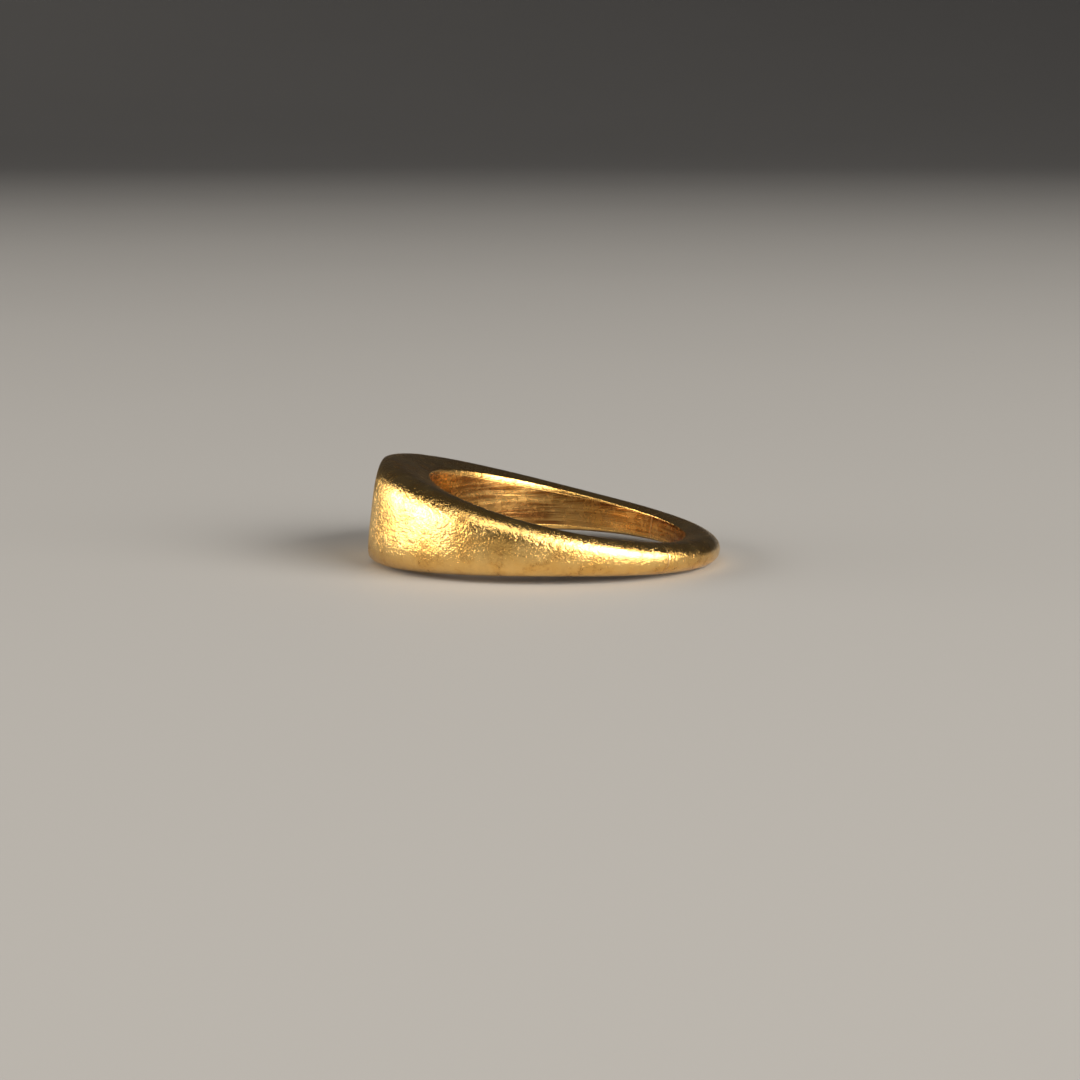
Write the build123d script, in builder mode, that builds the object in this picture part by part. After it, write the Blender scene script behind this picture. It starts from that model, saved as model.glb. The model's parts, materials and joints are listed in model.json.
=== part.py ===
from build123d import *
from math import asin, cos, degrees, radians, sin
import os

# Signet ring lying on its side, in millimetres.
#
# The ring is a hoop of changing cross-section round a cylindrical finger bore: narrow and thin at the back,
# flaring through both shoulders into a deep head with a flat oval table. It is made of a cast head and
# shank, a sizing piece let in at the back between two soldered joints, and a seal plate bedded on solder in
# the table. It rests on the head's lower edge and on the back of the shank, so the bore axis leans.

# Hoop: the head is at -X and the back of the shank at +X
bore_radius = 9.5
back_thickness = 2.65
side_thickness = 1.8
nose_radius = 14.0
table_distance = 13.1
shoulder_start = 70.0

# Half of the width along the bore axis, at the head, at the sides and at the back
head_half_width = 4.15
side_half_width = 1.89
back_half_width = 1.15
head_reach = 13.2
back_reach = 12.0

# Cross-section: exponent of the crowned outer curve, and the long easing down to the bore
shank_roundness = 2.4
head_roundness = 3.9
edge_drop = 0.44
edge_share = 0.65
edge_bend = 1.5
inside_reach = 0.25
edge_points = 6
crown_points = 9

# Steps round the hoop, the sizing piece and its two joints, in degrees
section_step = 10.0
sizing_half_angle = 43.0
joint_angle = 0.7

# Seal plate, the solder under it and the engraved border
plate_half_length = 3.65
plate_half_width = 2.95
plate_thickness = 0.8
solder_thickness = 0.1
border_inset = 0.5
border_width = 0.2
border_depth = 0.12
groove_inset = border_inset + border_width
cutter_size = 30.0

# Resting position: the bore axis leans towards the back of the shank
lean = 6.8
bore_centre = (0.68, 0.0, 2.308)

bore_axis = Vector(sin(radians(lean)), 0, cos(radians(lean)))
towards_back = Vector(cos(radians(lean)), 0, -sin(radians(lean)))
ring_plane = Plane(origin=bore_centre, x_dir=towards_back, z_dir=bore_axis)


def radial_plane(angle):
    """Plane through the bore axis, with X outwards. The angle is 0 at the back and 180 at the head."""
    outwards = towards_back.rotate(Axis((0, 0, 0), bore_axis), angle)
    return Plane(origin=bore_centre, x_dir=outwards, z_dir=outwards.cross(bore_axis))


def smooth_step(value):
    """Ease from 0 to 1 as the value goes from 0 to 1."""
    held = min(max(value, 0.0), 1.0)
    return held * held * (3 - 2 * held)


def angle_from_back(angle):
    """Any angle round the hoop as 0 at the back to 180 at the head."""
    return min(abs(angle), 360 - abs(angle))


def wall_thickness(angle):
    """Bore to crest of the uncut hoop, thickest at the nose that the table is cut from."""
    from_back = angle_from_back(angle)
    back_share = max(cos(radians(from_back)), 0.0) ** 2
    nose_share = smooth_step((from_back - shoulder_start) / (180 - shoulder_start))
    back_growth = (back_thickness - side_thickness) * back_share
    nose_growth = (nose_radius - bore_radius - side_thickness) * nose_share
    return side_thickness + back_growth + nose_growth


def half_width(reach):
    """Parabola through the three half widths, where reach is the distance towards the back."""
    head_slope = (side_half_width - head_half_width) / head_reach
    back_slope = (back_half_width - side_half_width) / back_reach
    bend = (back_slope - head_slope) / (back_reach + head_reach)
    return side_half_width + reach * (head_slope + bend * (reach + head_reach))


def section_half(angle):
    """Points on half of the cross-section, as radius and width, from inside the bore to the crest."""
    thickness = wall_thickness(angle)
    head_share = (1 - cos(radians(angle))) / 2
    roundness = shank_roundness + (head_roundness - shank_roundness) * head_share**2
    edge_reach = edge_share * thickness
    edge_step = (inside_reach + edge_reach) / edge_points
    depths = [step * edge_step - inside_reach for step in range(edge_points)]
    first_turn = degrees(asin(edge_share ** (roundness / 2)))
    for step in range(crown_points + 1):
        turn = first_turn + (90 - first_turn) * step / crown_points
        depths.append(thickness * sin(radians(turn)) ** (2 / roundness))
    points = []
    for depth in depths:
        radius = bore_radius + depth
        crown = max(1 - (max(depth, 0.0) / thickness) ** roundness, 0.0) ** (1 / roundness)
        drop = edge_drop * max(1 - depth / edge_reach, 0.0) ** edge_bend
        points.append((radius, half_width(radius * cos(radians(angle))) * crown - drop))
    return points


def hoop_sections(first_angle, last_angle):
    """Cross-sections of the hoop from one radial plane to another, for a loft."""
    steps = max(1, round((last_angle - first_angle) / section_step))
    sections = []
    for step in range(steps + 1):
        angle = first_angle + (last_angle - first_angle) * step / steps
        upper = section_half(angle)
        lower = [(radius, -width) for radius, width in reversed(upper[:-1])]
        with BuildSketch(radial_plane(angle)) as section:
            with BuildLine():
                outline = Spline(*upper, *lower)
                Line(outline @ 1, outline @ 0)
            make_face()
        sections.append(section.sketch)
    return sections


with BuildSketch(ring_plane) as finger_bore:
    Circle(bore_radius)

# The table faces away from the bore. X of its plane runs across the ring and Y along the bore axis.
table_centre = Vector(*bore_centre) - towards_back * table_distance
table_plane = Plane(origin=table_centre, x_dir=(0, -1, 0), z_dir=-towards_back)
plate_back_plane = table_plane.offset(-plate_thickness)
recess_plane = plate_back_plane.offset(-solder_thickness)

left_joint_start = sizing_half_angle
left_joint_end = sizing_half_angle + joint_angle
right_joint_start = 360 - left_joint_end
right_joint_end = 360 - left_joint_start

with BuildPart() as head_and_shank:
    loft(hoop_sections(left_joint_end, right_joint_start))
    extrude(finger_bore.sketch, amount=cutter_size, both=True, mode=Mode.SUBTRACT)
    with BuildSketch(table_plane):
        Rectangle(cutter_size, cutter_size)
    extrude(amount=cutter_size, mode=Mode.SUBTRACT)
    with BuildSketch(recess_plane):
        Ellipse(plate_half_length, plate_half_width)
    extrude(amount=cutter_size, mode=Mode.SUBTRACT)

with BuildPart() as sizing_piece:
    loft(hoop_sections(-left_joint_start, left_joint_start))
    extrude(finger_bore.sketch, amount=cutter_size, both=True, mode=Mode.SUBTRACT)

with BuildPart() as solder_joint_left:
    loft(hoop_sections(left_joint_start, left_joint_end))
    extrude(finger_bore.sketch, amount=cutter_size, both=True, mode=Mode.SUBTRACT)

with BuildPart() as solder_joint_right:
    loft(hoop_sections(right_joint_start, right_joint_end))
    extrude(finger_bore.sketch, amount=cutter_size, both=True, mode=Mode.SUBTRACT)

with BuildPart() as plate_solder:
    with BuildSketch(recess_plane):
        Ellipse(plate_half_length, plate_half_width)
    extrude(amount=solder_thickness)

with BuildPart() as seal_plate:
    with BuildSketch(plate_back_plane):
        Ellipse(plate_half_length, plate_half_width)
    extrude(amount=plate_thickness)
    with BuildSketch(table_plane):
        Ellipse(plate_half_length - border_inset, plate_half_width - border_inset)
        Ellipse(plate_half_length - groove_inset, plate_half_width - groove_inset, mode=Mode.SUBTRACT)
    extrude(amount=-border_depth, mode=Mode.SUBTRACT)

pieces = {
    "head_and_shank": head_and_shank,
    "seal_plate": seal_plate,
    "plate_solder": plate_solder,
    "sizing_piece": sizing_piece,
    "solder_joint_left": solder_joint_left,
    "solder_joint_right": solder_joint_right,
}
os.makedirs("parts", exist_ok=True)
for name, piece in pieces.items():
    piece.part.label = name
    export_step(piece.part, f"parts/{name}.step")
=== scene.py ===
"""Looks of a worn cast-gold signet ring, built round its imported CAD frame. Blender 4.5, metres."""

import json
import math

import bmesh
import bpy
import numpy as np
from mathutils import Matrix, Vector, noise


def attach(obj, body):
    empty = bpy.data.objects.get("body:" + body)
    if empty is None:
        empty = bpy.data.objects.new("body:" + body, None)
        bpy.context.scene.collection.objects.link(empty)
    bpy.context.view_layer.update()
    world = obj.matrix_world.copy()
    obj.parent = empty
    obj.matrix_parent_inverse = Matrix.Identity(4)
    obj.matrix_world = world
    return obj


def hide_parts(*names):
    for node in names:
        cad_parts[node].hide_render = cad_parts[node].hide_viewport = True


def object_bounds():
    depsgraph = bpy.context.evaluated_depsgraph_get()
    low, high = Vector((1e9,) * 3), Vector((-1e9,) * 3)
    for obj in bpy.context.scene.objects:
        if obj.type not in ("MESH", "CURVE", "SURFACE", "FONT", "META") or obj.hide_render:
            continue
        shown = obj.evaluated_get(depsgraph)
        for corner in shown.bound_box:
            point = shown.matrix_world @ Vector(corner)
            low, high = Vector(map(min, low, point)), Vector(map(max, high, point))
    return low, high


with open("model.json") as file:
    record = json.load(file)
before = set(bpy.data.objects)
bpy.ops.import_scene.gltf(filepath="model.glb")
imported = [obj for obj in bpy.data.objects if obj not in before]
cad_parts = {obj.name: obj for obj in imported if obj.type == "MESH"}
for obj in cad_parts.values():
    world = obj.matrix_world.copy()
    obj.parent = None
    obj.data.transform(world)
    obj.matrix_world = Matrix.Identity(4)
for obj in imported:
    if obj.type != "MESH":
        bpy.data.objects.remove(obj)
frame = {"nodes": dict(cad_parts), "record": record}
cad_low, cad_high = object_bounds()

MM = 0.001
mounts = {mount["name"]: mount for mount in frame["record"]["mounts"]}
bore = mounts["finger_bore"]
bore_centre = Vector(bore["pos_m"])
bore_axis = Vector(bore["axis"]).normalized()
bore_radius = bore["dims"]["r_mm"]
towards_back = -Vector(mounts["table_face"]["axis"]).normalized()
across = bore_axis.cross(towards_back)
table_centre = Vector(mounts["table_face"]["pos_m"])
table_distance = (bore_centre - table_centre).dot(towards_back) / MM

# The hoop, in millimetres, as its CAD solid has it
back_thickness = 2.65
side_thickness = 1.8
nose_radius = 14.0
shoulder_start = 70.0
head_half_width = 4.15
side_half_width = 1.89
back_half_width = 1.15
head_reach = 13.2
back_reach = 12.0
shank_roundness = 2.4
head_roundness = 3.9
edge_drop = 0.44
edge_share = 0.65
edge_bend = 1.5
sizing_half_angle = 43.0
joint_angle = 0.7

# The seal plate and its recess, in millimetres
plate_half_length = 3.65
plate_half_width = 2.95
plate_thickness = 0.8
solder_thickness = 0.1
recess_depth = plate_thickness + solder_thickness

# How a cross-section is sampled: even depths up to this share of the wall, then even turns to the crest
flank_share = 0.35
flank_points = 39
crown_points = 90


def smooth_step(value):
    """Ease from 0 to 1 as the value goes from 0 to 1."""
    held = np.clip(value, 0.0, 1.0)
    return held * held * (3 - 2 * held)


def angle_from_back(angle):
    """Any angle round the hoop as 0 at the back to 180 at the head."""
    return np.minimum(np.abs(angle), 360 - np.abs(angle))


def wall_thickness(angle):
    """Bore to crest of the uncut hoop, where the angle is 0 at the back and 180 at the head."""
    from_back = angle_from_back(angle)
    back_share = np.clip(np.cos(np.radians(from_back)), 0, None) ** 2
    nose_share = smooth_step((from_back - shoulder_start) / (180 - shoulder_start))
    back_growth = (back_thickness - side_thickness) * back_share
    nose_growth = (nose_radius - bore_radius - side_thickness) * nose_share
    return side_thickness + back_growth + nose_growth


def half_width(reach):
    """Half the width along the bore axis, at a distance towards the back."""
    head_slope = (side_half_width - head_half_width) / head_reach
    back_slope = (back_half_width - side_half_width) / back_reach
    bend = (back_slope - head_slope) / (back_reach + head_reach)
    return side_half_width + reach * (head_slope + bend * (reach + head_reach))


def section_curves(angles):
    """Radius, width and length so far along the cross-section at each angle, from rim to rim of the bore."""
    flank = np.linspace(0, flank_share, flank_points, endpoint=False)
    thickness = wall_thickness(angles)[:, None]
    head_share = (1 - np.cos(np.radians(angles)))[:, None] / 2
    roundness = shank_roundness + (head_roundness - shank_roundness) * head_share**2
    first_turn = np.arcsin(flank_share ** (roundness / 2))
    turns = first_turn + (math.pi / 2 - first_turn) * np.linspace(0, 1, crown_points)[None, :]
    crown = np.sin(turns) ** (2 / roundness)
    share = np.concatenate([np.repeat(flank[None, :], len(angles), 0), crown], 1)
    depth = share * thickness
    radius = bore_radius + depth
    fall = np.clip(1 - share**roundness, 0, 1) ** (1 / roundness)
    drop = edge_drop * np.clip(1 - depth / (edge_share * thickness), 0, None) ** edge_bend
    width = half_width(radius * np.cos(np.radians(angles))[:, None]) * fall - drop
    radius = np.concatenate([radius, radius[:, -2::-1]], 1)
    width = np.concatenate([width, -width[:, -2::-1]], 1)
    steps = np.hypot(np.diff(radius, axis=1), np.diff(width, axis=1))
    length = np.concatenate([np.zeros((len(angles), 1)), np.cumsum(steps, 1)], 1)
    return radius, width, length


def along_section(angle, at, radius, width, length):
    """Ring-frame points at the given lengths along one cross-section, whose angle is in radians."""
    reach = np.interp(at, length, radius)
    return np.stack([reach * math.cos(angle), reach * math.sin(angle), np.interp(at, length, width)], -1)


def section_rows(angles, shares):
    """Points at the given shares of the length of every angle's cross-section, and the lengths."""
    curves = section_curves(angles)
    lengths = curves[2][:, -1]
    each = zip(np.radians(angles), lengths, *curves)
    rows = [along_section(angle, shares * whole, *curve) for angle, whole, *curve in each]
    return np.array(rows), lengths


def section_points(angles, shares):
    """One point for each pair of an angle and a share of that cross-section's length."""
    curves = section_curves(angles)
    each = zip(np.radians(angles), shares * curves[2][:, -1], *curves)
    return np.array([along_section(angle, at, *curve) for angle, at, *curve in each])


class Patchwork:
    """Vertices and faces gathered for one mesh, in the ring's own frame and in millimetres."""

    def __init__(self):
        self.points = []
        self.softness = []
        self.relief = []
        self.wrap = []
        self.faces = []

    def row(self, points, softness, relief, wrap):
        """Add vertices, each with its softness, its share of the relief and its place in the grain."""
        first = len(self.points)
        count = len(points)
        self.points += [tuple(point) for point in points]
        self.softness += list(np.broadcast_to(softness, count))
        self.relief += list(np.broadcast_to(relief, count))
        self.wrap += [tuple(place) for place in wrap]
        return np.arange(first, first + count)

    def strip(self, one, other, closed=False):
        """Faces between two rows of vertices."""
        last = len(one) if closed else len(one) - 1
        for here in range(last):
            there = (here + 1) % len(one)
            self.faces.append((one[here], one[there], other[there], other[here]))


# How finely the hoop is divided
body_steps = 546
sizing_steps = 172
joint_steps = 2
section_steps = 132
wall_steps = 18
end_crowding = 0.12

# The block round the table: its half angle in degrees, the share of a cross-section where it starts, its rows
block_half_angle = 27.0
block_first_share = 0.14
block_rows = 26
block_crowding = 1.7
rim_halvings = 24
margin_rows = 10
recess_rows = 6
floor_rows = 6

# How edges are worn: how far in, in millimetres, how strongly, and where round the hoop, in degrees.
# An edge sharper than the sharp angle stays sharp, and the least length only keeps a division safe.
soft_reach = 0.32
soft_share = 0.3
recess_soft_reach = 0.08
shoulder_soft_reach = 1.4
shoulder_middle = 112.0
shoulder_spread = 70.0
soft_rounds = 150
soft_step = 0.5
sharp_angle = 40.0
least_length = 1e-12

# The unevenness of the surface: its depth and a joint's in millimetres, and the bore's share of it.
# Each layer has its waves per millimetre, its share of the depth and the offset of its pattern.
relief_height = 0.012
joint_sink = 0.02
bore_relief = 0.12
relief_layers = (
    (0.55, 0.6, Vector((0.0, 0.0, 0.0))),
    (1.7, 0.3, Vector((7.0, 3.0, 5.0))),
    (4.2, 0.18, Vector((1.0, 9.0, 2.0))),
)

# The kinds of grain, told apart by the third part of each vertex's place in the grain
outside_grain = 0.0
bore_grain = 1.0
face_grain = 2.0

# The length that the grain takes every cross-section of the block to have, in millimetres
block_grain_length = 8.0


def crowded(steps):
    """Shares from 0 to 1 that lie closer together towards both ends."""
    even = np.linspace(0, 1, steps + 1)
    return even - end_crowding * np.sin(2 * math.pi * even)


def hoop_angles():
    """Every angle of the hoop's grid, with the ends of each joint on a grid line."""
    joint_end = sizing_half_angle + joint_angle
    stretches = (
        (-sizing_half_angle, sizing_half_angle, sizing_steps),
        (sizing_half_angle, joint_end, joint_steps),
        (joint_end, 360 - joint_end, body_steps),
        (360 - joint_end, 360 - sizing_half_angle, joint_steps),
    )
    return np.concatenate([np.linspace(first, last, steps + 1)[:-1] for first, last, steps in stretches])


def edge_softness(distance, reach=soft_reach):
    """How freely vertices are smoothed: most on an edge, falling to 0 at the given distance from it."""
    return soft_share * np.clip(1 - np.abs(distance) / reach, 0, 1)


def bore_edge_softness(distance, angle):
    """The same at the bore's edges, which are worn far rounder on the shoulders."""
    on_shoulder = smooth_step(1 - abs(angle_from_back(angle) - shoulder_middle) / shoulder_spread)
    worn = on_shoulder * np.clip(1 - np.abs(distance) / shoulder_soft_reach, 0, 1)
    return np.maximum(edge_softness(distance), worn)


def block_line(angles, shares, along):
    """Points on the lines that run from the middle of the nose, at 0, to the block's border, at 1."""
    return section_points(180 + (angles - 180) * along, 0.5 + (shares - 0.5) * along)


def table_rim(angles, shares):
    """How far from the nose each line to the block's border crosses the table, as a share of the line."""
    near, far = np.zeros(len(angles)), np.ones(len(angles))
    for _ in range(rim_halvings):
        middle = (near + far) / 2
        beyond = block_line(angles, shares, middle)[:, 0] < -table_distance
        near = np.where(beyond, middle, near)
        far = np.where(beyond, far, middle)
    return (near + far) / 2


def grain_row(angle, at, kind):
    """Places in the grain for one row across the hoop."""
    around = math.radians(angle) * bore_radius
    return [(around, along, kind) for along in at]


def span(chosen):
    """The first and the last place where a mask is true."""
    places = np.nonzero(chosen)[0]
    return places[0], places[-1]


def lay_outside(work, angles, shares, rows, lengths):
    """A row of vertices over the outside at each angle, from the upper edge of the bore to the lower."""
    outer = []
    for angle, points, length in zip(angles, rows, lengths):
        at = shares * length
        softness = np.maximum(bore_edge_softness(at, angle), bore_edge_softness(length - at, angle))
        outer.append(work.row(points, softness, 1.0, grain_row(angle, at, outside_grain)))
    return outer


def join_outside(work, outer, block_angles, block_shares):
    """Faces between the outside rows, apart from the block that is left for the table."""
    first_share, last_share = block_shares
    for index, here in enumerate(outer):
        there = outer[(index + 1) % len(outer)]
        if block_angles[0] <= index < block_angles[1]:
            work.strip(here[: first_share + 1], there[: first_share + 1])
            work.strip(here[last_share:], there[last_share:])
        else:
            work.strip(here, there)


def lay_bore(work, angles, rows, outer):
    """The finger bore, from the lower edge back to the upper one."""
    wall = []
    inner_shares = crowded(wall_steps)[1:-1]
    for angle, points in zip(angles, rows):
        top, bottom = points[0], points[-1]
        height = top[2] - bottom[2]
        at = inner_shares * height
        softness = np.maximum(bore_edge_softness(at, angle), bore_edge_softness(height - at, angle))
        points = bottom + (top - bottom) * inner_shares[:, None]
        wall.append(work.row(points, softness, bore_relief, grain_row(angle, at, bore_grain)))
    for index in range(len(angles)):
        ends = [[outer[at][-1], *wall[at], outer[at][0]] for at in (index, (index + 1) % len(angles))]
        work.strip(*ends)


def block_border(block_angles, block_shares):
    """Every grid place round the block's border, as the index of its angle and of its share."""
    first_angle, last_angle = block_angles
    first_share, last_share = block_shares
    border = [(index, first_share) for index in range(first_angle, last_angle)]
    border += [(last_angle, share) for share in range(first_share, last_share)]
    border += [(index, last_share) for index in range(last_angle, first_angle, -1)]
    border += [(first_angle, share) for share in range(last_share, first_share, -1)]
    return border


def lay_block(work, angles, shares, border_row):
    """Rows that close in from the block's border to the table's rim. Gives the rim's points and vertices."""
    rim_share = table_rim(angles, shares)
    rim = block_line(angles, shares, rim_share)
    rim[:, 0] = -table_distance
    previous = border_row
    for step in range(1, block_rows + 1):
        inwards = 1 - (1 - step / block_rows) ** block_crowding
        along = 1 + (rim_share - 1) * inwards
        points = rim if step == block_rows else block_line(angles, shares, along)
        distance = np.linalg.norm(points - rim, axis=1)
        around = np.radians(180 + (angles - 180) * along) * bore_radius
        wrap = [(*place, outside_grain) for place in zip(around, block_grain_length * shares * along)]
        current = work.row(points, edge_softness(distance), np.clip(distance / soft_reach, 0, 1), wrap)
        work.strip(previous, current, closed=True)
        previous = current
    return rim, previous


def face_row(work, points, softness):
    """A row on the table, in its recess or on the plate, which takes no relief."""
    return work.row(points, softness, 0.0, [(y, z, face_grain) for _, y, z in points])


def oval(long_radius, short_radius, turns, distance):
    """Points round an oval that is square to the table's axis, at a distance towards the back."""
    columns = [np.full_like(turns, distance), long_radius * np.cos(turns), short_radius * np.sin(turns)]
    return np.stack(columns, 1)


def lay_table(work, rim, rim_row):
    """The flat margin of the table, the recess wall and the recess floor."""
    bearing = np.arctan2(rim[:, 2] / plate_half_width, rim[:, 1] / plate_half_length)
    recess = oval(plate_half_length, plate_half_width, bearing, -table_distance)
    rows = [rim_row]
    for share in crowded(margin_rows)[1:]:
        points = rim + (recess - rim) * share
        to_rim = np.linalg.norm(points - rim, axis=1)
        to_recess = np.linalg.norm(points - recess, axis=1)
        softness = np.maximum(edge_softness(to_rim), edge_softness(to_recess, recess_soft_reach))
        rows.append(face_row(work, points, softness))
    for share in (np.arange(1, recess_rows + 1) / recess_rows) ** 2:
        softness = edge_softness(recess_depth * share, recess_soft_reach)
        rows.append(face_row(work, recess + np.array((recess_depth * share, 0, 0)), softness))
    deep = recess + np.array((recess_depth, 0, 0))
    for share in np.arange(1, floor_rows) / floor_rows:
        rows.append(face_row(work, deep * np.array((1, 1 - share, 1 - share)), 0.0))
    for one, other in zip(rows, rows[1:]):
        work.strip(one, other, closed=True)
    centre = face_row(work, [(-table_distance + recess_depth, 0, 0)], 0.0)[0]
    last = rows[-1]
    for here in range(len(last)):
        work.faces.append((last[here], last[(here + 1) % len(last)], centre))


def build_hoop():
    """The whole hoop as one closed surface, with the table cut and the plate's recess sunk in it."""
    work = Patchwork()
    angles = hoop_angles()
    shares = crowded(section_steps)
    rows, lengths = section_rows(angles, shares)
    block_angles = span(np.abs(angles - 180) <= block_half_angle)
    block_shares = span((shares >= block_first_share) & (shares <= 1 - block_first_share))
    outer = lay_outside(work, angles, shares, rows, lengths)
    join_outside(work, outer, block_angles, block_shares)
    lay_bore(work, angles, rows, outer)
    at_angle, at_share = np.array(block_border(block_angles, block_shares)).T
    border_row = np.array(outer)[at_angle, at_share]
    rim, rim_row = lay_block(work, angles[at_angle], shares[at_share], border_row)
    lay_table(work, rim, rim_row)
    return work


def soften(points, faces, softness, rounds):
    """Round every edge that the softness marks, by moving vertices towards the mean of their neighbours."""
    pairs = np.concatenate([np.stack([faces[:, at], faces[:, (at + 1) % 4]], 1) for at in range(4)])
    pairs = pairs[pairs[:, 0] != pairs[:, 1]]
    pairs = np.unique(np.sort(pairs, 1), axis=0)
    one, other = pairs.T
    ties = np.bincount(pairs.ravel(), minlength=len(points)).astype(float)
    share = soft_step * softness[:, None]
    for _ in range(rounds):
        total = np.empty_like(points)
        for column in range(3):
            total[:, column] = np.bincount(one, points[other, column], len(points))
            total[:, column] += np.bincount(other, points[one, column], len(points))
        points = points + share * (total / np.maximum(ties, 1)[:, None] - points)
    return points


def vertex_normals(points, faces):
    """Area-weighted normals of a mesh of four-cornered faces."""
    first = points[faces[:, 2]] - points[faces[:, 0]]
    second = points[faces[:, 3]] - points[faces[:, 1]]
    flat = np.cross(first, second)
    normals = np.empty_like(points)
    for column in range(3):
        each = np.repeat(flat[:, column], 4)
        normals[:, column] = np.bincount(faces.ravel(), each, len(points))
    return normals / np.maximum(np.linalg.norm(normals, axis=1), least_length)[:, None]


def hand_finish(points, normals, relief):
    """Sink the surface by the unevenness that hand finishing leaves, and by the line of each joint."""
    depth = np.empty(len(points))
    for index, point in enumerate(points):
        place = Vector(point)
        layers = [share * noise.noise(place * waves + offset) for waves, share, offset in relief_layers]
        depth[index] = 0.5 + 0.5 * sum(layers)
    angle = np.degrees(np.arctan2(np.abs(points[:, 1]), points[:, 0]))
    from_joint = (angle - sizing_half_angle - joint_angle / 2) / (joint_angle / 2)
    sink = relief_height * depth * relief + joint_sink * np.exp(-(from_joint**2))
    return points - normals * sink[:, None]


def to_world(points):
    """Ring-frame millimetres to row-frame metres."""
    turn = np.array((towards_back, across, bore_axis))
    return np.array(bore_centre) + MM * points @ turn


def make_piece(name, node, slot, points, faces, wrap, worn):
    """A closed mesh that stands for a CAD node, with the grain's coordinates and the edges' wear."""
    mesh = bpy.data.meshes.new(name)
    mesh.from_pydata(to_world(points).tolist(), [], faces)
    grain = mesh.attributes.new("wrap", "FLOAT_VECTOR", "POINT")
    grain.data.foreach_set("vector", np.asarray(wrap, np.float32).ravel())
    wear = mesh.attributes.new("worn", "FLOAT", "POINT")
    wear.data.foreach_set("value", np.asarray(worn, np.float32))
    editing = bmesh.new()
    editing.from_mesh(mesh)
    open_edges = [edge for edge in editing.edges if edge.is_boundary]
    caps = bmesh.ops.holes_fill(editing, edges=open_edges, sides=0)["faces"]
    bmesh.ops.triangulate(editing, faces=caps)
    bmesh.ops.recalc_face_normals(editing, faces=editing.faces)
    editing.to_mesh(mesh)
    editing.free()
    mesh.polygons.foreach_set("use_smooth", np.ones(len(mesh.polygons), bool))
    mesh.set_sharp_from_angle(angle=math.radians(sharp_angle))
    mesh.materials.append(finishes[slot])
    piece = bpy.data.objects.new(name, mesh)
    bpy.context.scene.collection.objects.link(piece)
    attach(piece, "root")
    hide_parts(node)


def cut_from_hoop(name, node, slot, hoop, first_angle, last_angle):
    """The stretch of the finished hoop between two angles, closed at both ends by a flat cap."""
    points, faces, wrap, worn = hoop
    middle = points[faces].mean(1)
    angle = np.degrees(np.arctan2(middle[:, 1], middle[:, 0]))
    kept = faces[(angle - first_angle) % 360 < last_angle - first_angle]
    used, renumbered = np.unique(kept, return_inverse=True)
    corners = [tuple(dict.fromkeys(face)) for face in renumbered.reshape(kept.shape).tolist()]
    make_piece(name, node, slot, points[used], corners, wrap[used], worn[used])


def finish_hoop():
    """The hoop's vertices after softening and finishing, its faces, its grain and its wear."""
    work = build_hoop()
    faces = np.array([face if len(face) == 4 else (*face, face[-1]) for face in work.faces])
    softness = np.array(work.softness)
    points = soften(np.array(work.points), faces, softness, soft_rounds)
    points = hand_finish(points, vertex_normals(points, faces), np.array(work.relief))
    return points, faces, np.array(work.wrap), softness


# The seal plate's own fine shape, in millimetres, and where its rows lie
plate_gap = 0.015
plate_edge_radius = 0.07
plate_wear_reach = 3 * plate_edge_radius
plate_steps = 256
border_inset = 0.5
border_width = 0.2
border_depth = 0.12
border_flatness = 3
border_bend = 0.6
field_inset = border_inset + border_width
field_shares = np.linspace(0.05, 1, 18)
border_shares = np.linspace(0, 1, 15)[1:]
lip_shares = (0.35, 0.65, 0.85)
edge_turns = np.linspace(0, math.pi / 2, 7)
side_shares = (0.3, 0.6, 0.9, 1.0)
back_shares = (0.7, 0.4, 0.15)


def plate_profile():
    """Rows from the middle of the face round to the back: inset, depth and share of the inset oval."""
    profile = [(field_inset, 0.0, share) for share in field_shares]
    for share in border_shares:
        fall = (1 - abs(2 * share - 1) ** border_flatness) ** border_bend
        profile.append((field_inset - border_width * share, border_depth * fall, 1.0))
    for share in lip_shares:
        inset = border_inset + (plate_gap + plate_edge_radius - border_inset) * share
        profile.append((inset, 0.0, 1.0))
    for turn in edge_turns:
        inset = plate_gap + plate_edge_radius * (1 - math.sin(turn))
        profile.append((inset, plate_edge_radius * (1 - math.cos(turn)), 1.0))
    for share in side_shares:
        profile.append((plate_gap, plate_edge_radius + (plate_thickness - plate_edge_radius) * share, 1.0))
    return profile + [(plate_gap, plate_thickness, share) for share in back_shares]


def make_plate():
    """The oval seal plate with its engraved border line."""
    work = Patchwork()
    turns = np.linspace(0, 2 * math.pi, plate_steps, endpoint=False)
    rows = []
    for inset, depth, share in plate_profile():
        long_radius = (plate_half_length - inset) * share
        short_radius = (plate_half_width - inset) * share
        worn = edge_softness(inset - plate_gap, plate_wear_reach)
        rows.append(face_row(work, oval(long_radius, short_radius, turns, -table_distance + depth), worn))
    for one, other in zip(rows, rows[1:]):
        work.strip(one, other, closed=True)
    front = face_row(work, [(-table_distance, 0, 0)], 0.0)[0]
    back = face_row(work, [(-table_distance + plate_thickness, 0, 0)], 0.0)[0]
    first, last = rows[0], rows[-1]
    for here in range(plate_steps):
        there = (here + 1) % plate_steps
        work.faces.append((front, first[there], first[here]))
        work.faces.append((last[here], last[there], back))
    faces = [tuple(int(corner) for corner in face) for face in work.faces]
    points = np.array(work.points)
    make_piece("engraved_plate", "seal_plate", "plate_gold", points, faces, work.wrap, work.softness)


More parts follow.
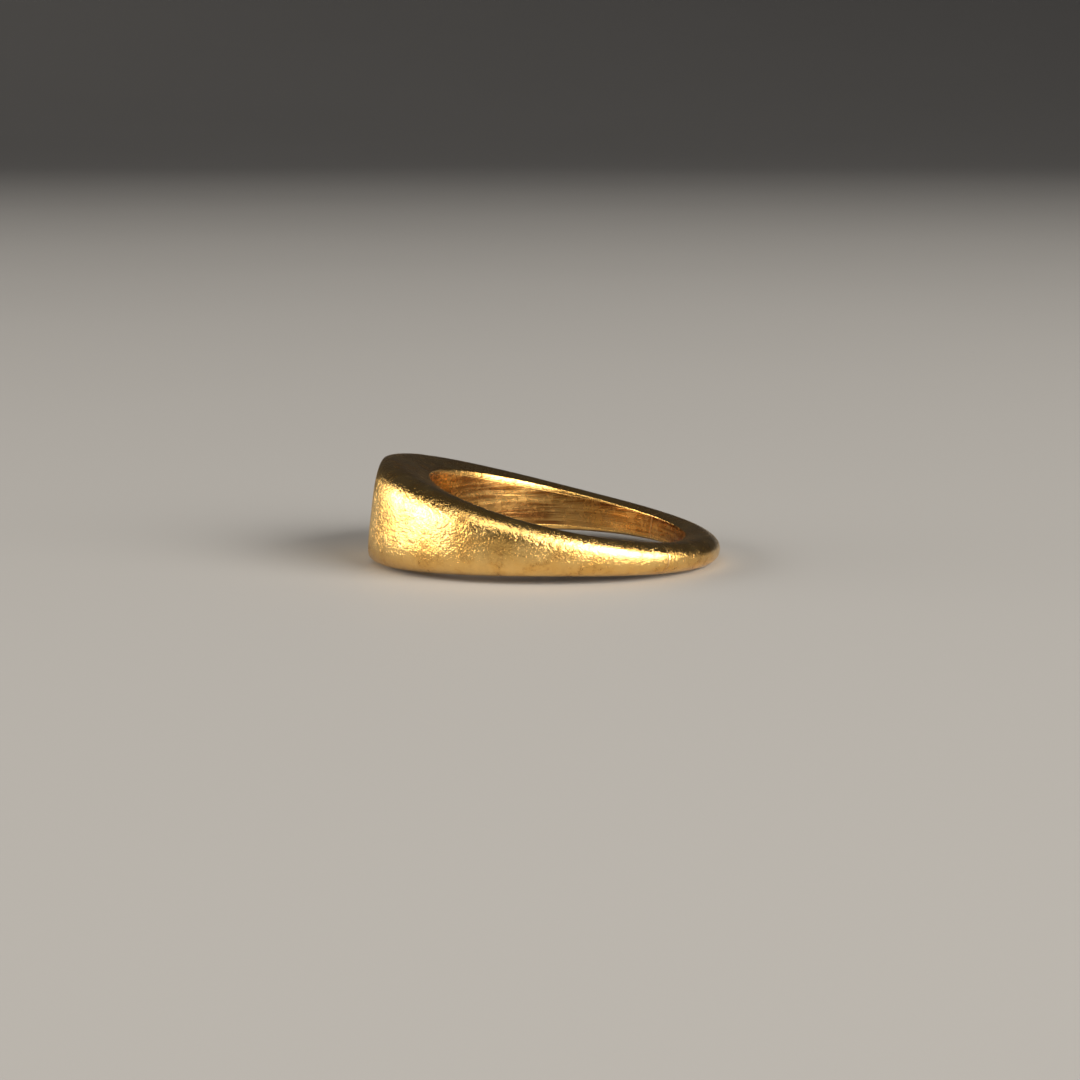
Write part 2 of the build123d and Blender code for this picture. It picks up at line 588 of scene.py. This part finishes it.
class Nodes:
    """Short ways to add and join shader nodes in one material."""

    def __init__(self, name):
        self.material = bpy.data.materials.new(name)
        self.material.use_nodes = True
        self.tree = self.material.node_tree
        self.shader = self.tree.nodes["Principled BSDF"]

    def add(self, kind, **settings):
        """A new node with some of its properties set."""
        made = self.tree.nodes.new(kind)
        for name, value in settings.items():
            setattr(made, name, value)
        return made

    def put(self, socket, value):
        """Set an input, or link an output to it."""
        if isinstance(value, bpy.types.NodeSocket):
            self.tree.links.new(value, socket)
        else:
            socket.default_value = value

    def math(self, operation, first, second=0.0, clamp=False):
        """A sum on one or two numbers."""
        made = self.add("ShaderNodeMath", operation=operation, use_clamp=clamp)
        self.put(made.inputs[0], first)
        self.put(made.inputs[1], second)
        return made.outputs[0]

    def scale(self, vector, amounts):
        """A vector times another, part by part."""
        made = self.add("ShaderNodeVectorMath", operation="MULTIPLY")
        self.put(made.inputs[0], vector)
        self.put(made.inputs[1], amounts)
        return made.outputs[0]

    def noise(self, vector, scale, detail=2.0, roughness=0.5, distortion=0.0):
        """Smooth noise from 0 to 1."""
        made = self.add("ShaderNodeTexNoise")
        self.put(made.inputs["Vector"], vector)
        made.inputs["Scale"].default_value = scale
        made.inputs["Detail"].default_value = detail
        made.inputs["Roughness"].default_value = roughness
        made.inputs["Distortion"].default_value = distortion
        return made.outputs["Fac"]

    def ramp(self, value, start, end, bottom=0.0, top=1.0):
        """Carry the range from start to end over to bottom to top, eased and held at both ends."""
        made = self.add("ShaderNodeMapRange", interpolation_type="SMOOTHSTEP")
        self.put(made.inputs["Value"], value)
        self.put(made.inputs["From Min"], start)
        self.put(made.inputs["From Max"], end)
        self.put(made.inputs["To Min"], bottom)
        self.put(made.inputs["To Max"], top)
        return made.outputs["Result"]

    def blend(self, share, first, second):
        """One colour passing into another."""
        made = self.add("ShaderNodeMix", data_type="RGBA")
        self.put(made.inputs["Factor"], share)
        self.put(made.inputs[6], first)
        self.put(made.inputs[7], second)
        return made.outputs[2]

    def attribute(self, name):
        """A value stored on the mesh."""
        return self.add("ShaderNodeAttribute", attribute_name=name)

    def bump(self, height, strength, distance, normal=None):
        """A normal tilted by a height. The distance is in metres."""
        made = self.add("ShaderNodeBump")
        made.inputs["Strength"].default_value = strength
        made.inputs["Distance"].default_value = distance
        self.put(made.inputs["Height"], height)
        if normal:
            self.put(made.inputs["Normal"], normal)
        return made.outputs["Normal"]


# How the grain is stretched: waves per millimetre along the hoop and across it
turned_stretch = (0.13, 3.4, 1.0)
# The stretch of the bore's streaky stain, which also lays painted shade over the whole bore
stain_and_shade_stretch = (0.10, 0.55, 1.0)
lapped_stretch = (0.5, 14.0, 1.0)

# What each cause adds to the gold's roughness, or takes off it where an edge is worn
patch_roughness = 0.11
face_patch_roughness = 0.02
dirt_roughness = 0.12
bore_roughness = 0.05
wear_polish = 0.05

# The heights of the finer patterns, next to 1 for the orange peel and for the bore's turning marks.
# The last one lifts the whole face.
wrinkle_height = 0.75
pit_height = 0.26
bore_wrinkle_height = 0.12
lapping_height = 0.16
face_height = 0.1


def gold_patterns(nodes):
    """The masks and noises that all the gold is mixed from, by name. Scales are in waves per millimetre."""
    place = nodes.scale(nodes.add("ShaderNodeTexCoord").outputs["Object"], (1 / MM,) * 3)
    wrap = nodes.attribute("wrap").outputs["Vector"]
    parts = nodes.add("ShaderNodeSeparateXYZ")
    nodes.put(parts.inputs[0], wrap)
    kind = parts.outputs["Z"]
    from_bore = nodes.math("ABSOLUTE", nodes.math("SUBTRACT", kind, bore_grain))
    turned = nodes.scale(wrap, turned_stretch)
    stained = nodes.scale(wrap, stain_and_shade_stretch)
    lapped = nodes.scale(wrap, lapped_stretch)
    return {
        "in_bore": nodes.ramp(from_bore, start=0.0, end=0.6, bottom=1.0, top=0.0),
        "on_face": nodes.ramp(kind, start=1.4, end=face_grain),
        "outside": nodes.ramp(kind, start=outside_grain, end=0.6, bottom=1.0, top=0.0),
        "worn": nodes.attribute("worn").outputs["Fac"],
        "broad": nodes.noise(place, scale=0.45),
        "patches": nodes.noise(place, scale=1.6, detail=3.0, roughness=0.6),
        "peel": nodes.noise(place, scale=2.6, distortion=0.7),
        "wrinkle": nodes.noise(place, scale=5.5, roughness=0.55, distortion=1.4),
        "pits": nodes.noise(place, scale=13.0, roughness=0.6),
        "turned": nodes.noise(turned, scale=1.0, detail=4.0, roughness=0.65, distortion=0.3),
        # streaks of the bore's stain and painted shade
        "stained": nodes.noise(stained, scale=1.0, detail=3.0, roughness=0.6, distortion=0.4),
        "lapped": nodes.noise(lapped, scale=1.0, detail=3.0, roughness=0.7),
    }


def gold_dirt(nodes, look):
    """How dirty the metal is: most in the hollows of the wrinkles, and more in some patches than others."""
    hollows = nodes.ramp(look["wrinkle"], start=0.66, end=0.40)
    patchy = nodes.math("MULTIPLY", hollows, nodes.ramp(look["patches"], start=0.42, end=0.66, top=0.7))
    return nodes.math("MULTIPLY", patchy, nodes.ramp(look["broad"], start=0.42, end=0.58, bottom=0.2))


def gold_colour(nodes, look, dirt_share, light, deep, dirt_and_bore_shade):
    """Two golds in broad patches, dirty in the hollows outside, and in the bore streaked with stain along the
    marks and darkened all over with painted shade.
    """
    clean = nodes.blend(nodes.ramp(look["broad"], start=0.35, end=0.65), (*light, 1.0), (*deep, 1.0))
    outside = nodes.blend(nodes.math("MULTIPLY", dirt_share, look["outside"]), clean, (*dirt_and_bore_shade, 1.0))
    # In the bore the dark colour is part stain along the marks and part painted shade: at least 0.3 of it
    # everywhere in the bore
    wide_stain_and_shade = nodes.ramp(look["stained"], start=0.38, end=0.58, bottom=0.6)
    fine_stain_and_shade = nodes.ramp(look["turned"], start=0.38, end=0.56, bottom=0.5)
    bore_stain_and_shade = nodes.math("MULTIPLY", wide_stain_and_shade, fine_stain_and_shade)
    return nodes.blend(nodes.math("MULTIPLY", bore_stain_and_shade, look["in_bore"]), outside, (*dirt_and_bore_shade, 1.0))


def gold_roughness(nodes, look, dirt_share, plain_roughness):
    """Rougher in patches, where dirty and in the bore, smoother on worn edges and on the face."""
    patches = nodes.ramp(look["patches"], start=0.3, end=0.7)
    on_face = look["on_face"]
    strength = nodes.ramp(on_face, start=0.0, end=1.0, bottom=patch_roughness, top=face_patch_roughness)
    rough = nodes.math("ADD", nodes.math("MULTIPLY", patches, strength), plain_roughness)
    rough = nodes.math("ADD", rough, nodes.math("MULTIPLY", dirt_share, dirt_roughness))
    rough = nodes.math("ADD", rough, nodes.math("MULTIPLY", look["in_bore"], bore_roughness))
    return nodes.math("SUBTRACT", rough, nodes.math("MULTIPLY", look["worn"], wear_polish), clamp=True)


def gold_normal(nodes, look, peel_height, grain_height):
    """Orange peel, wrinkles and pits outside, turning marks in the bore, fine lapping lines on the face."""
    skin = nodes.math("ADD", look["peel"], nodes.math("MULTIPLY", look["wrinkle"], wrinkle_height))
    skin = nodes.math("ADD", skin, nodes.math("MULTIPLY", look["pits"], pit_height))
    skin = nodes.math("MULTIPLY", skin, look["outside"])
    lines = nodes.math("ADD", nodes.math("MULTIPLY", look["lapped"], lapping_height), face_height)
    lines = nodes.math("MULTIPLY", lines, look["on_face"])
    streaks = nodes.math("ADD", look["turned"], nodes.math("MULTIPLY", look["wrinkle"], bore_wrinkle_height))
    streaks = nodes.math("MULTIPLY", streaks, look["in_bore"])
    skinned = nodes.bump(nodes.math("ADD", skin, lines), strength=1.0, distance=peel_height * MM)
    return nodes.bump(streaks, strength=1.0, distance=grain_height * MM, normal=skinned)


def gold(name, light, deep, dirt_and_bore_shade, peel_height, grain_height, plain_roughness):
    """Cast and hand-finished gold. Its dark colour is dirt in the hollows outside and painted shade with
    stain in the bore. The two heights are in millimetres.
    """
    nodes = Nodes(name)
    look = gold_patterns(nodes)
    dirt_share = gold_dirt(nodes, look)
    nodes.put(nodes.shader.inputs["Base Color"], gold_colour(nodes, look, dirt_share, light, deep, dirt_and_bore_shade))
    nodes.put(nodes.shader.inputs["Roughness"], gold_roughness(nodes, look, dirt_share, plain_roughness))
    nodes.put(nodes.shader.inputs["Normal"], gold_normal(nodes, look, peel_height, grain_height))
    nodes.shader.inputs["Metallic"].default_value = 1.0
    return nodes.material


def floor_paint():
    """Pale matt paper with a faint tooth. Scales are in waves per metre."""
    nodes = Nodes("floor_paper")
    place = nodes.add("ShaderNodeTexCoord").outputs["Object"]
    tone = nodes.blend(nodes.noise(place, scale=6.0), (0.36, 0.352, 0.339, 1.0), (0.385, 0.376, 0.363, 1.0))
    nodes.put(nodes.shader.inputs["Base Color"], tone)
    nodes.shader.inputs["Roughness"].default_value = 0.75
    tooth = nodes.noise(place, scale=900.0, detail=3.0)
    nodes.put(nodes.shader.inputs["Normal"], nodes.bump(tooth, strength=0.15, distance=0.02 * MM))
    return nodes.material


# The floor, in metres: flat as far as its radius, then rising as a backdrop over a further distance
floor_radius = 1.2
floor_shares = (0.1, 0.3, 0.6, 1.0)
backdrop_reach = 1.6
backdrop_height = 0.9
backdrop_bend = 2.4
backdrop_steps = 24
floor_steps = 96


def make_floor(material):
    """A round pale floor that curves up into its own backdrop on every side."""
    mesh = bpy.data.meshes.new("floor")
    editing = bmesh.new()
    level = cad_low.z
    profile = [(floor_radius * share, level) for share in floor_shares]
    for share in np.linspace(0, 1, backdrop_steps + 1)[1:]:
        rise = backdrop_height * share**backdrop_bend
        profile.append((floor_radius + backdrop_reach * share, level + rise))
    centre = editing.verts.new((0, 0, level))
    previous = None
    turns = [2 * math.pi * step / floor_steps for step in range(floor_steps)]
    around = [(math.cos(turn), math.sin(turn)) for turn in turns]
    for radius, height in profile:
        ring = [editing.verts.new((radius * x, radius * y, height)) for x, y in around]
        for here in range(floor_steps):
            there = (here + 1) % floor_steps
            if previous is None:
                editing.faces.new((centre, ring[here], ring[there]))
            else:
                editing.faces.new((previous[here], ring[here], ring[there], previous[there]))
        previous = ring
    for face in editing.faces:
        face.smooth = True
    editing.to_mesh(mesh)
    editing.free()
    mesh.materials.append(material)
    floor = bpy.data.objects.new("floor", mesh)
    bpy.context.scene.collection.objects.link(floor)


def direction(azimuth, elevation):
    """The way from the ring to something seen at that azimuth and elevation, azimuth 0 being the -Y side."""
    turn, rise = math.radians(azimuth), math.radians(elevation)
    return Vector((math.sin(turn) * math.cos(rise), -math.cos(turn) * math.cos(rise), math.sin(rise)))


# How wide each soft box throws its light, in degrees, so that it falls on the ring more than on the floor
light_spread = 100.0
light_tint = (1.0, 0.95, 0.88)
room_light = (0.045, 0.045, 0.048, 1.0)


def make_light(name, azimuth, elevation, distance, width, height, power):
    """A soft box that faces the ring: angles in degrees, sizes in metres and power in watts."""
    data = bpy.data.lights.new(name, "AREA")
    data.shape = "RECTANGLE"
    data.size = width
    data.size_y = height
    data.energy = power
    data.spread = math.radians(light_spread)
    data.color = light_tint
    light = bpy.data.objects.new(name, data)
    away = direction(azimuth, elevation)
    light.location = bore_centre + away * distance
    light.rotation_mode = "QUATERNION"
    light.rotation_quaternion = away.to_track_quat("Z", "Y")
    bpy.context.scene.collection.objects.link(light)


def make_lights():
    """Low soft boxes on the left and at the front right, a weak high one in front, and a dim even room."""
    make_light("left", azimuth=-80.0, elevation=14.5, distance=1.10, width=1.10, height=0.48, power=4.8)
    make_light("right", azimuth=54.0, elevation=23.0, distance=1.10, width=1.12, height=0.74, power=10.0)
    make_light("front", azimuth=-14.0, elevation=50.0, distance=1.18, width=0.79, height=0.37, power=1.3)
    world = bpy.data.worlds.new("room")
    world.use_nodes = True
    world.node_tree.nodes["Background"].inputs["Color"].default_value = room_light
    world.node_tree.nodes["Background"].inputs["Strength"].default_value = 1.0
    bpy.context.scene.world = world
    bpy.context.scene.view_settings.view_transform = "Standard"


# The camera, in front of the ring and looking slightly down at it: degrees and metres, its lens in mm
view_azimuth = 3.7
view_elevation = 9.19
view_distance = 197.5 * MM
aim_left = 1.09 * MM
aim_below = 0.83 * MM
lens_length = 90.0
sensor_width = 36.0
nearest_seen = 0.01
farthest_seen = 20.0


def make_camera():
    """The camera at the viewing angle, aimed just left of and below the bore's centre."""
    data = bpy.data.cameras.new("camera")
    data.lens = lens_length
    data.sensor_width = sensor_width
    data.clip_start = nearest_seen
    data.clip_end = farthest_seen
    camera = bpy.data.objects.new("camera", data)
    away = direction(view_azimuth, view_elevation)
    right = Vector((0, 0, 1)).cross(away).normalized()
    up = away.cross(right)
    aim = bore_centre - right * aim_left - up * aim_below
    camera.location = aim + away * view_distance
    camera.rotation_mode = "QUATERNION"
    camera.rotation_quaternion = away.to_track_quat("Z", "Y")
    bpy.context.scene.collection.objects.link(camera)
    bpy.context.scene.camera = camera


finishes = {
    "cast_gold": gold(
        "finish_cast",
        light=(0.96, 0.62, 0.21),
        deep=(0.91, 0.54, 0.15),
        # dark brown: dirt in the hollows outside, and painted shade with stain all over the bore
        dirt_and_bore_shade=(0.26, 0.11, 0.03),
        peel_height=0.040,
        grain_height=0.030,
        plain_roughness=0.14,
    ),
    "plate_gold": gold(
        "finish_plate",
        light=(0.98, 0.69, 0.29),
        deep=(0.95, 0.63, 0.22),
        dirt_and_bore_shade=(0.50, 0.27, 0.09),
        peel_height=0.006,
        grain_height=0.005,
        plain_roughness=0.12,
    ),
    "gold_solder": gold(
        "finish_solder",
        light=(0.88, 0.58, 0.26),
        deep=(0.80, 0.50, 0.20),
        # dark brown: dirt in the hollows outside, and painted shade with stain all over the bore
        dirt_and_bore_shade=(0.40, 0.20, 0.07),
        peel_height=0.012,
        grain_height=0.010,
        plain_roughness=0.26,
    ),
}


def make_ring():
    """Every visible piece of the ring."""
    hoop = finish_hoop()
    start = sizing_half_angle
    end = sizing_half_angle + joint_angle
    cut_from_hoop("cast_head_and_shank", "head_and_shank", "cast_gold", hoop, end, 360 - end)
    cut_from_hoop("sizing_section", "sizing_piece", "cast_gold", hoop, -start, start)
    cut_from_hoop("solder_line_left", "solder_joint_left", "gold_solder", hoop, start, end)
    cut_from_hoop("solder_line_right", "solder_joint_right", "gold_solder", hoop, 360 - end, 360 - start)
    make_plate()
    materials = frame["nodes"]["plate_solder"].data.materials
    materials.clear()
    materials.append(finishes["gold_solder"])


make_ring()
make_floor(floor_paint())
make_lights()
make_camera()
